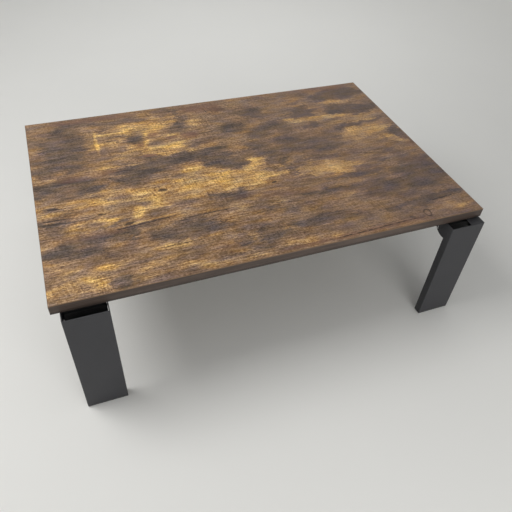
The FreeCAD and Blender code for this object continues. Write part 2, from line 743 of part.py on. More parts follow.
def quartz_tubes():
    """Two clear tubes along the heater, seated in the holders."""
    tubes = []
    length = f"2 * {TUBE_END}"
    for index, across in enumerate(element_places()):
        outer = rod(f"tube{index}", (f"-{TUBE_END}", across, ELEMENT_Z), "tube_radius", length, "X")
        start = (f"-{TUBE_END} - overrun", across, ELEMENT_Z)
        bore_radius = "tube_radius - tube_wall"
        bore = rod(f"tube_bore{index}", start, bore_radius, f"{length} + 2 * overrun", "X")
        tubes.append(cut(f"tube_cut{index}", outer, [bore]))
    node("quartz_tubes", group("tubes", tubes))


def heating_coils():
    """A wound resistance wire in each tube, with a straight end in each holder."""
    radius, wire, turns = number("coil_radius"), number("coil_wire"), number("coil_turns")
    length = 2 * number(HOLDER_IN)
    tail = number(f"{HOLDER_OUT} - {HOLDER_IN}") + wire
    coils = []
    for across in element_places():
        winding = coil(radius, wire, turns, length)
        ends = [Part.makeCylinder(wire, tail, FreeCAD.Vector(radius, 0, level), FreeCAD.Vector(0, 0, 1))
                for level in (-tail + wire / 2, length - wire / 2)]
        whole = winding.fuse(ends)
        whole.rotate(FreeCAD.Vector(), FreeCAD.Vector(0, 1, 0), 90)
        whole.translate(FreeCAD.Vector(-length / 2, number(across), number(ELEMENT_Z)))
        coils.append(whole)
    shape = doc.addObject("Part::Feature", "coils")
    shape.Shape = Part.makeCompound(coils)
    node("heating_coils", shape)


def element_holders():
    """Four ceramic blocks under the reflector's roof, each bored for the end of a tube."""
    holders = []
    for index, across in enumerate(element_places()):
        for side in (-1, 1):
            name = f"holder{index}{side + 1}"
            low_x = HOLDER_IN if side > 0 else f"-{HOLDER_OUT}"
            tall = "element_drop + holder_below"
            low = (low_x, f"{across} - holder_width / 2", f"{REFLECTOR_ROOF} - element_drop - holder_below")
            base = block(f"{name}_block", low, ("holder_thick", "holder_width", tall))
            seat_x = f"{HOLDER_IN} - overrun" if side > 0 else f"-{TUBE_END}"
            seat = rod(f"{name}_seat", (seat_x, across, ELEMENT_Z), "tube_radius + element_play",
                       f"{TUBE_END} - {HOLDER_IN} + overrun", "X")
            way = rod(f"{name}_way", (f"{low_x} - overrun", across, ELEMENT_Z),
                      "tube_radius - tube_wall - element_play", "holder_thick + 2 * overrun", "X")
            holders.append(cut(f"{name}_cut", base, [seat, way]))
    node("element_holders", group("holders", holders))


def thermostat():
    """Round bimetal thermostat under the middle of the reflector's roof."""
    half = "(thermostat_base / 2)"
    low = (f"-{half}", f"-{half}", f"{REFLECTOR_ROOF} - base_thick")
    base = block("thermostat_plate", low, (f"2 * {half}", f"2 * {half}", "base_thick"))
    start = ("0", "0", f"{REFLECTOR_ROOF} - base_thick - thermostat_height")
    can = rod("thermostat_can", start, "thermostat_radius", "thermostat_height")
    node("thermostat", join("thermostat_join", [base, can]))


def thermal_fuse():
    """Cut-out fuse in its clip, beside the thermostat."""
    low = ("fuse_place - clip_width / 2", "-clip_thick / 2", f"{REFLECTOR_ROOF} - clip_height")
    clip = block("fuse_block", low, ("clip_width", "clip_thick", "clip_height"))
    start = ("fuse_place - fuse_length / 2", "0", f"{REFLECTOR_ROOF} - clip_height + clip_thick / 2")
    barrel = rod("fuse_barrel", start, "fuse_radius", "fuse_length", "X")
    bore = rod("fuse_bore", start, "fuse_radius", "fuse_length", "X")
    node("fuse_clip", cut("fuse_clip_cut", clip, [bore]))
    node("thermal_fuse", group("fuse_set", [barrel]))


def terminal_block():
    """Terminal strip on the casing's lip, behind the inlet, with a screw well for each pole."""
    low_x = f"({WINDOW_X} + reflector_rim + reflector_play)"
    low = (low_x, "-terminal_length / 2", LIP_TOP)
    strip = block("terminal_strip", low, ("terminal_width", "terminal_length", "terminal_height"))
    wells = []
    for index in range(int(number("terminal_poles"))):
        across = f"({index} - (terminal_poles - 1) / 2) * terminal_length / terminal_poles"
        point = (f"{low_x} + terminal_width / 2", across, f"{LIP_TOP} + terminal_height - well_depth")
        wells.append(rod(f"terminal_well{index}", point, "well_radius", "well_depth + overrun"))
    node("terminal_block", cut("terminal_cut", strip, wells))


def inlet_housing():
    """Moulded shroud of the cord inlet, set through the casing's side, open outwards."""
    outer = f"({HALF_CASE} + flange_thick)"
    body_low = (f"{outer} - inlet_depth", "-inlet_width / 2", f"{INLET_Z} - inlet_height / 2")
    body = block("inlet_body", body_low, ("inlet_depth", "inlet_width", "inlet_height"))
    rim_low = (HALF_CASE, "-inlet_width / 2 - inlet_flange", f"{INLET_Z} - inlet_height / 2 - inlet_flange")
    rim_size = ("flange_thick", "inlet_width + 2 * inlet_flange", "inlet_height + 2 * inlet_flange")
    rim = block("inlet_rim", rim_low, rim_size)
    well_low = (f"{outer} - inlet_depth + inlet_wall", "inlet_wall - inlet_width / 2",
                f"{INLET_Z} - inlet_height / 2 + inlet_wall")
    well_size = ("inlet_depth", "inlet_width - 2 * inlet_wall", "inlet_height - 2 * inlet_wall")
    tools = [block("inlet_well", well_low, well_size)]
    for index, across in enumerate(inlet_pin_places()):
        start = (f"{outer} - inlet_depth - overrun", across, INLET_Z)
        tools.append(rod(f"inlet_way{index}", start, "inlet_pin_radius", "inlet_wall + 2 * overrun", "X"))
    node("inlet_housing", cut("inlet_cut", join("inlet_blank", [body, rim]), tools))


def inlet_pin_places():
    """The three contact pins' places across the inlet."""
    return [f"({step} * inlet_pin_pitch)" for step in (-1, 0, 1)]


def inlet_pins():
    """Brass contact pins through the back wall of the inlet."""
    start = f"{HALF_CASE} + flange_thick - inlet_depth - inlet_pin_tail"
    length = "inlet_pin_tail + inlet_wall + inlet_pin_length"
    pins = [rod(f"inlet_pin{index}", (start, across, INLET_Z), "inlet_pin_radius", length, "X")
            for index, across in enumerate(inlet_pin_places())]
    node("inlet_pins", group("inlet_pin_set", pins))


def guard_grille():
    """Slatted guard under the heater: a rim, slats along Y in a row, and stays that cross them."""
    body = doc.addObject("PartDesign::Body", "guard")
    half = f"({HALF_CASE} - guard_margin)"
    inner = f"({half} - guard_rim)"
    rim = sketch_on(body, "XY_Plane", GUARD_FOOT)
    draw_box(rim, (f"-{half}", f"-{half}"), (half, half))
    draw_box(rim, (f"-{inner}", f"-{inner}"), (inner, inner))
    extrude(body, "Pad", rim, "guard_thick")
    rows = (("slat", "X_Axis", lambda low, high, reach: ((low, f"-{reach}"), (high, reach))),
            ("stay", "Y_Axis", lambda low, high, reach: ((f"-{reach}", low), (reach, high))))
    for kind, axis, span in rows:
        start = f"(-({kind}_count - 1) / 2 * {kind}_pitch)"
        flat = sketch_on(body, "XY_Plane", GUARD_FOOT)
        edges = (f"{start} - {kind}_width / 2", f"{start} + {kind}_width / 2")
        low, high = span(*edges, f"({inner} + guard_rim / 2)")
        draw_box(flat, low, high)
        bar = extrude(body, "Pad", flat, "guard_thick" if kind == "slat" else "guard_thick / 2")
        doc.recompute()
        pattern = body.newObject("PartDesign::LinearPattern", f"guard_{kind}s")
        pattern.Originals = [bar]
        pattern.Direction = (next(part for part in body.Origin.OriginFeatures if part.Role == axis), [""])
        tie(pattern, "Length", f"({kind}_count - 1) * {kind}_pitch")
        tie(pattern, "Occurrences", f"{kind}_count")
        body.Tip = pattern
    tools = [rod(f"guard_drill{index}", point, "screw_radius + screw_play", "guard_thick + 2 * overrun")
             for index, point in enumerate(guard_screw_places(f"{GUARD_FOOT} - overrun"))]
    node("guard_grille", cut("guard_cut", body, tools))


def guard_screw_places(level):
    """The screws' places in the four corners of the guard's rim, at a given level."""
    reach = f"({HALF_CASE} - guard_margin - guard_rim / 2)"
    return [(f"{side} * {reach}", f"{row} * {reach}", level) for side in (-1, 1) for row in (-1, 1)]


def guard_screws():
    """Four screws up through the guard's rim into the casing's lips."""
    screws = [screw(f"guard_screw{index}", point, "Z", True, "guard_screw_length")
              for index, point in enumerate(guard_screw_places(GUARD_FOOT))]
    node("guard_screws", group("guard_screw_set", screws))


def heater_screws():
    """Four screws up through the casing's tabs into the cross rails."""
    screws = []
    for side in (-1, 1):
        for row in (-1, 1):
            across = f"{side} * ({HALF_CASE} + tab_length / 2)"
            point = (across, f"{row} * tab_place", f"{CASE_TOP} - case_wall")
            length = "screw_bite + case_wall"
            screws.append(screw(f"heater_screw{side + 1}{row + 1}", point, "Z", True, length))
    node("heater_screws", group("heater_screw_set", screws))


tabletop_core()
tabletop_face("top_face", "table_height - face_thick")
tabletop_face("under_face", UNDERSIDE)
edge_band("edge_band_front", "(top_length / 2)", "(top_depth / 2)", 0)
edge_band("edge_band_back", "(top_length / 2)", "(top_depth / 2)", 180)
edge_band("edge_band_right", "(top_depth / 2 - band_thick)", "(top_length / 2)", 90)
edge_band("edge_band_left", "(top_depth / 2 - band_thick)", "(top_length / 2)", 270)
long_rail("front_rail", -1)
long_rail("back_rail", 1)
short_rail("left_rail", -1)
short_rail("right_rail", 1)
cross_rail("left_cross_rail", -1)
cross_rail("right_cross_rail", 1)
for corner_name in CORNERS:
    corner_brace(corner_name)
    leg(corner_name)
    foot_glide(corner_name)
    pivot_pin(corner_name)
    lock_bar(corner_name)
    lock_springs(corner_name)
    hinge_bracket(corner_name)
    if corner_name in CAPPED:
        head_cap(corner_name)
top_pads()
bracket_screws()
heater_casing()
reflector()
quartz_tubes()
heating_coils()
element_holders()
thermostat()
thermal_fuse()
terminal_block()
inlet_housing()
inlet_pins()
guard_grille()
guard_screws()
heater_screws()
doc.recompute()

for thing in doc.Objects:
    if "Invalid" in thing.State or "Error" in thing.State:
        raise RuntimeError(f"{thing.Name} ({thing.Label}) failed: {thing.State}")
for solid in NODES:
    if solid.Shape.isNull() or not solid.Shape.isValid() or not solid.Shape.Solids:
        raise RuntimeError(f"{solid.Label} has no valid shape")
os.makedirs("parts", exist_ok=True)
for solid in NODES:
    solid.Shape.exportStep(f"parts/{solid.Label}.step")
print(len(NODES), "sub-parts,", sum(len(solid.Shape.Solids) for solid in NODES), "solids")
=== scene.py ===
"""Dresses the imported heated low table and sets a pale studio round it.

Everything is in metres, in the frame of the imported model: +X runs along the long side, the front is -Y,
+Z is up, and the origin is on the floor under the centre of the tabletop.
"""
import json
import math
import bmesh
import bpy
import numpy as np
from bpy.props import FloatProperty, FloatVectorProperty, PointerProperty
from bpy.types import Operator, Panel, PropertyGroup
from mathutils import Euler, Matrix, Vector


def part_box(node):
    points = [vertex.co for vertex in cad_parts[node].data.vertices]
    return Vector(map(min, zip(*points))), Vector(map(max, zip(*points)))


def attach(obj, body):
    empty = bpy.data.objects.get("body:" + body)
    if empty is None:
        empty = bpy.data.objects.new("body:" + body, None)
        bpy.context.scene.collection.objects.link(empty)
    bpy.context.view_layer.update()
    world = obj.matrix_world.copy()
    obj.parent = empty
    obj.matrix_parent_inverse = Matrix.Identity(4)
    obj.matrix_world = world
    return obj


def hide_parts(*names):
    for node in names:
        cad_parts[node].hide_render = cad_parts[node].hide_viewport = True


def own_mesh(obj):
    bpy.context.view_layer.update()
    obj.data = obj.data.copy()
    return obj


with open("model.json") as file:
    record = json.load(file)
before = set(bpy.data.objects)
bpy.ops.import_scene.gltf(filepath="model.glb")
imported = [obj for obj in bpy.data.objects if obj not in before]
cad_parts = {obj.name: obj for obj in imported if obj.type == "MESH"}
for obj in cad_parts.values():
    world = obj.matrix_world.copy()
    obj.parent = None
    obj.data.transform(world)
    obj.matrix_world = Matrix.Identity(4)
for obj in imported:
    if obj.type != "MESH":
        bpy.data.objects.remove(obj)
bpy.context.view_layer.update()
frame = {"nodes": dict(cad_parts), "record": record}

bl_info = {
    "name": "Heated Low Table",
    "version": (1, 0, 0),
    "blender": (4, 5, 0),
    "location": "View3D > Sidebar > Low Table",
    "description": "Finishes for a packed low table with a printed top, and a pale studio for it",
    "category": "Object",
}

MM = 0.001
CORNERS = ("front_left", "front_right", "back_left", "back_right")

# Marks of the printed top, in millimetres from its centre: across, up, half length, half width,
# turn in degrees, and strength.
# Patches worn down to the dark ground.
DARK_MARKS = (
    (-502, 240, 88, 125, 0, 0.92), (-440, 352, 90, 48, 0, 0.6), (-277, 243, 42, 66, -8, 0.85),
    (-122, 310, 30, 95, 4, 0.7), (40, 205, 70, 36, -5, 0.6), (150, 178, 130, 62, 8, 0.65),
    (130, 270, 85, 80, 0, 0.55), (296, 243, 74, 56, 10, 1.15), (500, 214, 135, 48, -6, 0.95),
    (493, 335, 130, 56, 0, 0.85), (307, 150, 48, 20, 8, 0.8), (470, 126, 135, 20, 14, 0.8),
    (-185, 80, 235, 40, 10, 0.9), (-305, 40, 95, 40, 0, 0.95), (-20, 12, 62, 52, -30, 0.9),
    (-45, 150, 80, 38, 10, 0.35), (195, 58, 235, 85, -4, 0.6), (147, -48, 24, 66, 4, 1.0),
    (247, -35, 76, 24, 0, 0.75), (92, -45, 44, 17, -6, 0.85), (324, -33, 40, 20, -10, 0.6),
    (-555, -60, 46, 15, -4, 0.8), (-560, -117, 90, 12, -2, 0.9), (-512, 38, 120, 58, 0, 0.7),
    (-588, 30, 36, 48, 0, 0.9), (-405, -158, 55, 14, 20, 0.85), (-367, -215, 24, 40, -6, 0.95),
    (-512, -222, 160, 50, 6, 0.65), (-240, -203, 32, 12, 0, 0.7), (-215, -240, 150, 42, -4, 0.9),
    (-85, -132, 80, 34, 6, 0.7), (13, -227, 32, 30, 0, 0.7), (225, -195, 130, 18, -3, 1.0),
    (335, -137, 140, 22, 2, 0.85), (453, -97, 42, 12, 0, 0.75), (490, -52, 98, 26, -22, 0.5),
    (525, -190, 140, 105, 0, 0.8), (385, -225, 130, 62, 6, 0.75), (-107, -310, 44, 32, 0, 0.7),
    (-20, -314, 62, 38, 8, 0.8), (135, -304, 130, 34, -3, 0.85), (327, -322, 40, 16, 0, 0.75),
    (480, -312, 170, 20, 5, 1.0), (-425, -374, 62, 22, -12, 0.9), (387, -377, 32, 9, 0, 0.8),
    (-540, 130, 100, 62, 0, 0.6), (-433, 0, 32, 22, 0, 0.7), (577, 40, 42, 56, 0, 0.8),
    (582, -32, 26, 54, 0, 0.6), (-347, 233, 26, 14, 0, 0.7), (-380, 300, 20, 13, 0, 0.7),
    (-330, -190, 70, 12, -10, 0.5), (60, 340, 100, 26, 0, 0.5), (300, 330, 70, 40, 0, 0.35),
    (-80, -370, 90, 14, 3, 0.5), (440, -170, 270, 190, 0, 0.36), (150, 90, 220, 130, 0, 0.35),
    (-55, 50, 55, 60, -50, 0.8), (-330, 60, 70, 34, 20, 0.9), (-530, 150, 110, 130, 0, 0.35),
    (450, 340, 200, 60, 0, 0.3),
)
# Patches where the ochre shows.
GOLD_MARKS = (
    (-260, 285, 185, 58, 0, 0.8), (-187, 318, 80, 40, -10, 0.55), (-190, 150, 110, 60, 0, 0.85),
    (-105, -62, 340, 60, 1, 1.0), (250, -88, 150, 38, -6, 0.85), (-125, 12, 86, 56, 0, 0.7),
    (52, -2, 52, 44, 20, 0.7), (-490, -66, 180, 70, 0, 0.52), (-490, -147, 150, 36, 3, 0.55),
    (-505, -360, 150, 52, 0, 0.6), (-110, -372, 430, 34, 0, 0.35), (345, 192, 165, 28, -4, 0.9),
    (490, 160, 160, 34, 12, 0.65), (480, 70, 140, 48, 8, 0.72), (320, 302, 70, 44, 0, 0.55),
    (470, 277, 76, 20, -4, 0.8), (545, -362, 80, 26, 3, 0.4), (10, -186, 200, 26, -6, 0.3),
    (220, -235, 80, 30, 0, 0.35), (-560, 95, 60, 70, 0, 0.3), (-30, 270, 120, 60, -10, 0.35),
    (-250, -300, 150, 40, 0, 0.3), (-330, 120, 100, 60, 0, 0.35), (330, 20, 90, 40, 15, 0.25),
    (-230, -60, 400, 100, 0, 0.45), (-270, 230, 230, 150, 0, 0.4), (-420, -330, 200, 60, 0, 0.4),
    (-250, -108, 170, 28, 2, 0.65), (540, 0, 60, 30, -40, 0.75), (270, 130, 90, 30, 0, 0.35),
)
# Reddish stains.
RUST_MARKS = (
    (-370, 378, 260, 20, 0, 0.55), (-20, 360, 110, 60, -20, 0.6), (470, 380, 160, 26, 0, 0.6),
    (-217, 240, 22, 17, 0, 0.9), (-270, 190, 16, 9, 0, 0.9), (-250, 125, 28, 11, -4, 0.95),
    (-107, 203, 44, 26, 0, 0.8), (-163, 207, 34, 13, 0, 0.7), (-257, 162, 12, 7, 0, 0.9),
    (-450, 70, 130, 26, 3, 0.5), (200, -385, 300, 12, 1, 0.6), (582, -32, 30, 60, 0, 0.5),
    (60, -160, 240, 30, -5, 0.35), (-470, -190, 160, 24, 3, 0.4), (540, -120, 90, 30, -10, 0.35),
)
# Cracks, and small dark dents.
CRACK_MARKS = (
    (-335, -182, 112, 4.0, 4.5, 1.5), (-160, -190, 90, 3.2, 2, 1.2), (250, -384, 190, 3.2, 2, 1.2),
    (-560, -105, 60, 3.4, -2, 1.2), (60, -206, 60, 3.0, -10, 1.0), (-60, 205, 60, 3.0, -3, 0.8),
    (-12, 335, 38, 2.8, -66, 1.1), (4, 342, 30, 2.4, -66, 1.0), (-210, 352, 30, 2.4, -70, 0.9),
    (420, -50, 110, 2.8, -14, 0.9), (520, -318, 90, 3.2, 5, 1.1), (-240, -286, 120, 2.6, 1, 0.9),
    (-254, -56, 19, 8, -3, 2.0), (-370, -172, 22, 8, 12, 1.6), (63, -110, 13, 4.5, 8, 1.7),
    (-360, 235, 14, 5, 0, 1.5), (-436, -114, 14, 5, -5, 1.4), (-335, 224, 9, 4, 0, 1.5),
    (-552, -58, 22, 5, -6, 1.5), (-562, -118, 34, 3.5, -2, 1.5),
)
# Pale scuffs.
LIGHT_MARKS = (
    (-399, 235, 8, 92, 0, 1.0), (-250, 205, 11, 62, -12, 0.7), (-340, -130, 24, 34, -12, 1.4),
    (-330, -173, 105, 4, 4.5, 1.0), (-440, 200, 40, 6, 0, 0.6), (40, -142, 90, 5, -4, 0.5),
    (375, 262, 60, 7, 4, 0.6), (565, -366, 36, 9, 8, 0.6),
)
# Small knots, whose rings have no strength of their own.
KNOT_PLACES = (
    (433, -367, 13, 19, 0), (-130, -232, 10, 8, 0),
)

# Two octaves of the patch noise are this share of all its seven.
COARSE_SHARE = 0.616
# What the print's colours are multiplied by: all over, towards the right-hand end, where a grey tint stands
# for a painted sheen, with the two slow noises, and with the fine grain, which changes light and hardly
# colour.
PRINT_TINT = (1.06, 1.035, 0.925)
PAINTED_SHEEN_TINT = (0.0, 0.03, 0.33)
HUE_TINT = (0.5, 0.1, -1.5)
BLUSH_TINT = (0.3, 0.04, -0.2)
GRAIN_TINT = (2.1, 2.5, 3.3)
LEAST_TINT = 0.3

# Meshes: how near two points are one, the angles that count as flat, sharp and worth rolling.
MERGE_STEP = 0.001 * MM
FLAT_ANGLE = math.radians(0.6)
SHARP_ANGLE = math.radians(32)
ROLL_ANGLE = math.radians(34)

# Lamps: name, place, target, size, the property that holds the power, and colour.
LAMPS = (
    ("key_lamp", (-1.5, 0.2, 2.3), (0.0, 0.0, 0.3), 1.4, "key_power", (1.0, 0.995, 0.985)),
    ("front_lamp", (0.3, -2.8, 0.9), (0.0, 0.0, 0.3), 1.6, "front_power", (1.0, 0.995, 0.985)),
    ("wall_lamp", (0.6, 1.4, 2.4), (1.4, 4.6, 0.9), 1.6, "wall_power", (0.99, 0.995, 1.0)),
)
SKY_COLOUR = (0.97, 0.985, 1.0, 1.0)


def is_wide(side):
    """Whether a side of an operation carries a vector or a colour."""
    return isinstance(side, tuple) or isinstance(side, Wire) and side.socket.type in ("VECTOR", "RGBA")


class Wire:
    """One output socket. Sums and products of it with numbers or other wires add their maths nodes."""

    def __init__(self, finish, socket):
        self.finish = finish
        self.socket = socket

    def combine(self, operation, first, second):
        """The node for one operation, on vectors where either side is one."""
        wide = is_wide(first) or is_wide(second)
        kind = "ShaderNodeVectorMath" if wide else "ShaderNodeMath"
        sides = [(side,) * 3 if wide and isinstance(side, (int, float)) else side for side in (first, second)]
        return self.finish.node(kind, {"operation": operation}, {0: sides[0], 1: sides[1]})

    def __add__(self, other):
        return self.combine("ADD", self, other)

    def __radd__(self, other):
        return self.combine("ADD", other, self)

    def __sub__(self, other):
        return self.combine("SUBTRACT", self, other)

    def __rsub__(self, other):
        return self.combine("SUBTRACT", other, self)

    def __mul__(self, other):
        return self.combine("MULTIPLY", self, other)

    def __rmul__(self, other):
        return self.combine("MULTIPLY", other, self)

    def over(self, other):
        """The larger of the two."""
        return self.combine("MAXIMUM", self, other)

    def length(self):
        """The length of the vector."""
        return self.finish.node("ShaderNodeVectorMath", {"operation": "LENGTH"}, {0: self}, "Value")

    def scaled(self, scale, shift):
        """The vector times one vector plus another."""
        settings = {"operation": "MULTIPLY_ADD"}
        return self.finish.node("ShaderNodeVectorMath", settings, {0: self, 1: scale, 2: shift})

    def step(self, low, high, top=1.0):
        """A smooth step from 0 at low to top at high. Low may be the larger one."""
        settings = {"interpolation_type": "SMOOTHSTEP", "clamp": False}
        sockets = {"Value": self, "From Min": low, "From Max": high, "To Max": top}
        return self.finish.node("ShaderNodeMapRange", settings, sockets)


class Finish:
    """A material in the making, round one Principled shader whose constant sockets are set by name."""

    def __init__(self, name, **constants):
        self.material = bpy.data.materials.new(name)
        self.material.use_nodes = True
        self.tree = self.material.node_tree
        self.shader = self.tree.nodes["Principled BSDF"]
        for socket, value in constants.items():
            self.shader.inputs[socket.replace("_", " ")].default_value = value

    def node(self, kind, settings=None, sockets=None, output=0):
        """Add a node, set it up, feed its sockets and return one of its outputs."""
        made = self.tree.nodes.new(kind)
        for key, value in (settings or {}).items():
            if key == "stops":
                self.set_stops(made.color_ramp, value)
            else:
                setattr(made, key, value)
        for key, value in (sockets or {}).items():
            if isinstance(value, Wire):
                self.tree.links.new(value.socket, made.inputs[key])
            else:
                made.inputs[key].default_value = value
        return Wire(self, made.outputs[output])

    def set_stops(self, ramp, stops):
        """Give a ramp its places and colours."""
        for place, _ in stops[1:-1]:
            ramp.elements.new(place)
        for element, (place, colour) in zip(ramp.elements, stops):
            element.position = place
            element.color = (*colour, 1.0)

    def place(self):
        """Where the shaded point is, in the frame of the model."""
        return self.node("ShaderNodeTexCoord", output="Object")

    def noise(self, place, detail=2.0, roughness=0.5, output=0):
        """Soft noise about 1 unit of the place across, from 0 to 1."""
        sockets = {"Vector": place, "Scale": 1.0, "Detail": detail, "Roughness": roughness}
        return self.node("ShaderNodeTexNoise", sockets=sockets, output=output)

    def split(self, place, axis):
        """One coordinate of a place."""
        return self.node("ShaderNodeSeparateXYZ", sockets={0: place}, output=axis)

    def mix(self, factor, first, second):
        """A colour between two."""
        pair = [side if isinstance(side, Wire) else (*side, 1.0) for side in (first, second)]
        return self.node("ShaderNodeMix", {"data_type": "RGBA"}, {0: factor, 6: pair[0], 7: pair[1]}, 2)

    def ramp(self, value, stops):
        """A colour for each level of a value."""
        return self.node("ShaderNodeValToRGB", {"stops": stops}, {"Fac": value})

    def bump(self, height, distance):
        """A normal from a height whose full span is the given distance."""
        return self.node("ShaderNodeBump", sockets={"Height": height, "Distance": distance})

    def feed(self, **wires):
        """Link wires to the shader's sockets and return the material."""
        for socket, wire in wires.items():
            self.tree.links.new(wire.socket, self.shader.inputs[socket.replace("_", " ")])
        return self.material


def per_mm(across, along, up):
    """Scales for a noise whose grains are this many millimetres across, along and up."""
    return tuple(1 / (size * MM) for size in (across, along, up))


def shade(colour, factor):
    """A colour made lighter or darker."""
    return tuple(part * factor for part in colour)


def oval(place, swapped, row):
    """How far out of an oval each point is: 0 at its centre and 1 on its edge.

    The place less the centre is turned back by the oval's turn, and divided by its half length and width.
    """
    across, up, long, wide = (value * MM for value in row[:4])
    turn = math.radians(row[4])
    cos, sin = math.cos(turn), math.sin(turn)
    shift = ((-across * cos - up * sin) / long, (across * sin - up * cos) / wide, 0.0)
    if turn:
        shift = swapped.scaled((sin / long, -sin / wide, 0.0), shift)
    return place.scaled((cos / long, cos / wide, 0.0), shift).length()


def swap(finish, place):
    """The place with its first two coordinates exchanged."""
    sockets = {"X": finish.split(place, "Y"), "Y": finish.split(place, "X")}
    return finish.node("ShaderNodeCombineXYZ", sockets=sockets)


def marks(finish, place, rows):
    """The strongest of many soft-edged oval marks at each point."""
    found, swapped = None, swap(finish, place)
    for *row, strength in rows:
        mark = oval(place, swapped, row).step(1.1, 0.42, strength)
        found = mark if found is None else found.over(mark)
    return found


def knots(finish, place):
    """Small dark rings with a light core."""
    found = None
    for row in KNOT_PLACES:
        reach = oval(place, place, row)
        ring = reach.step(1.0, 0.8) * reach.step(0.45, 0.75)
        found = ring if found is None else found.over(ring)
    return found


def printed_wood(look):
    """The top's print: worn boards with dark ground, ochre streaks, saw marks, cracks and knots, greyed by a
    painted sheen towards its right-hand end.
    """
    finish = Finish("printed_wood", Specular_IOR_Level=0.5)
    flat = finish.place() * (1.0, 1.0, 0.0)
    # Places drawn out of true, much for the patches and little for the cracks.
    drift = finish.noise(flat * per_mm(120, 70, 1), 4.0, 0.6, 1) - 0.5
    flutter = finish.noise(flat * per_mm(24, 8, 1), 3.0, 0.65, 1) - 0.5
    worn = flat + drift * (0.15, 0.08, 0.0) + flutter * (0.1, 0.035, 0.0)
    near = flat + drift * (0.03, 0.006, 0.0)
    slanted = near + swap(finish, flat) * (0.14, 0.0, 0.0)
    # Noises, from the boards' slow patches down to single flecks.
    patch_place = near * per_mm(85, 36, 1) + 2.2
    patch = finish.noise(patch_place, 6.0, 0.64) - 0.5
    coarse = (finish.noise(patch_place, 1.0, 0.64) - 0.5) * COARSE_SHARE
    streak = finish.noise(near * per_mm(95, 5, 1), 4.0, 0.62) - 0.5
    grain = finish.noise(near * per_mm(55, 1.8, 1), 3.0, 0.6)
    mottle = finish.noise(flat * per_mm(7, 4.5, 1), 3.0, 0.65) - 0.5
    saw = finish.noise(slanted * per_mm(3.2, 80, 1), 3.0, 0.6) - 0.5
    cloud = finish.noise(flat * per_mm(150, 80, 1) + 7.3, 2.0, 0.5)
    fleck = finish.noise(flat * per_mm(3.4, 1.7, 1) + 4.4, 2.0, 0.6) - 0.5
    hue = finish.noise(near * per_mm(60, 24, 1) + 9.1, 2.5, 0.55) - 0.5
    blush = finish.noise(near * per_mm(80, 40, 1) + 5.7, 3.0, 0.6) - 0.5
    gaps = finish.noise(flat * per_mm(14, 4, 1)).step(0.36, 0.56) - 1.0
    # The print is calmer towards its right-hand end, and greyed there by a painted sheen.
    calm_and_sheen = finish.split(worn, "X").step(-0.05, 0.35, 0.4)
    broad = coarse * 2.5
    thin = (patch - coarse) * 2.5 + streak * 1.7 + mottle * 2.2 + (grain - 0.5) * 1.1
    breaks = (broad + thin * 0.2) * (1.0 - calm_and_sheen)
    dark_shown = (marks(finish, worn, DARK_MARKS) * 1.1 + breaks * 0.6).step(0.22, 0.9)
    gold_shown = (marks(finish, worn, GOLD_MARKS) * 1.1 - breaks * 0.6).step(0.2, 0.95)
    saw_shown = saw * (cloud.step(0.4, 0.62, 0.6) + gold_shown * 0.4)
    # Patches pick the colour, and the fine grain makes it lighter and darker.
    light = marks(finish, near, LIGHT_MARKS)
    tone = 0.49 + gold_shown * 0.285 - dark_shown * 0.28 - breaks * 0.45 + light * 0.26
    fine = saw_shown + fleck * (0.6 - calm_and_sheen * 0.6) - thin * (0.58 - calm_and_sheen * 0.58)
    # The grey tint towards the right-hand end is a painted sheen.
    tint = PRINT_TINT + calm_and_sheen * PAINTED_SHEEN_TINT + hue * HUE_TINT + blush * BLUSH_TINT + fine * GRAIN_TINT
    stops = (
        (0.0, look.ground_colour), (0.16, look.dark_colour), (0.42, look.brown_colour),
        (0.6, look.tan_colour), (0.78, look.ochre_colour), (0.95, look.bright_colour),
    )
    colour = finish.ramp(tone, stops) * tint.over(LEAST_TINT)
    rust = (marks(finish, near, RUST_MARKS) + breaks * 0.4).step(0.15, 0.9, 0.7)
    colour = finish.mix(rust, colour, look.rust_colour)
    pores = finish.noise(flat * per_mm(16, 1.1, 1) + 3.1, 1.0).step(0.66, 0.76, 0.55)
    pits = finish.noise(near * per_mm(15, 4, 1) + 11.7, 3.0, 0.6).step(0.65, 0.73, 0.7)
    crack = (marks(finish, near, CRACK_MARKS) + gaps).step(0.05, 0.9, 0.85)
    colour = finish.mix(pores.over(pits).over(crack), colour, look.crack_colour)
    colour = finish.mix(knots(finish, near) * 0.75, colour, look.crack_colour)
    rough = look.roughness + mottle * 0.12 + dark_shown * 0.06
    relief = finish.bump(grain * 0.8 - pores, look.relief)
    return finish.feed(Base_Color=colour, Roughness=rough, Normal=relief)


def printed_edge(look):
    """The edge strip's print: long grey-brown streaks, with painted shade darkening its foot, and a lip of
    the top's tan that is also a painted highlight along the top arris.
    """
    finish = Finish("printed_edge", Specular_IOR_Level=0.3)
    place = finish.place()
    streak = finish.noise(place * per_mm(110, 110, 4.5), 4.0, 0.6) - 0.5
    thread = finish.noise(place * per_mm(40, 40, 1.1), 2.0, 0.6) - 0.5
    cloud = finish.noise(place * per_mm(240, 240, 60), 1.0) - 0.5
    tone = 0.5 + streak * 0.9 + thread * 0.45 + cloud * 0.6
    middle = look.edge_colour
    stops = ((0.1, shade(middle, 0.5)), (0.5, middle), (0.95, shade(middle, 1.9)))
    foot, lip = (corner[2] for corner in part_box("edge_band_front"))
    level = finish.split(place, "Z")
    # Painted shade: the strip's lower part is darkened as if shaded by the top above it.
    painted_foot_shade = level.step(foot + 11 * MM, foot + 1 * MM, 0.6)
    # The lip is the top sheet's edge in its tan, and also a painted highlight along the top arris.
    lip_and_highlight = level.step(lip - 3.5 * MM, lip - 0.5 * MM, 0.5)
    colour = finish.mix(painted_foot_shade, finish.ramp(tone, stops), shade(middle, 0.3))
    colour = finish.mix(lip_and_highlight, colour, look.tan_colour)
    rough = look.roughness + 0.04 + streak * 0.1
    relief = finish.bump(streak * 0.5 + thread * 0.5, look.relief)
    return finish.feed(Base_Color=colour, Roughness=rough, Normal=relief)


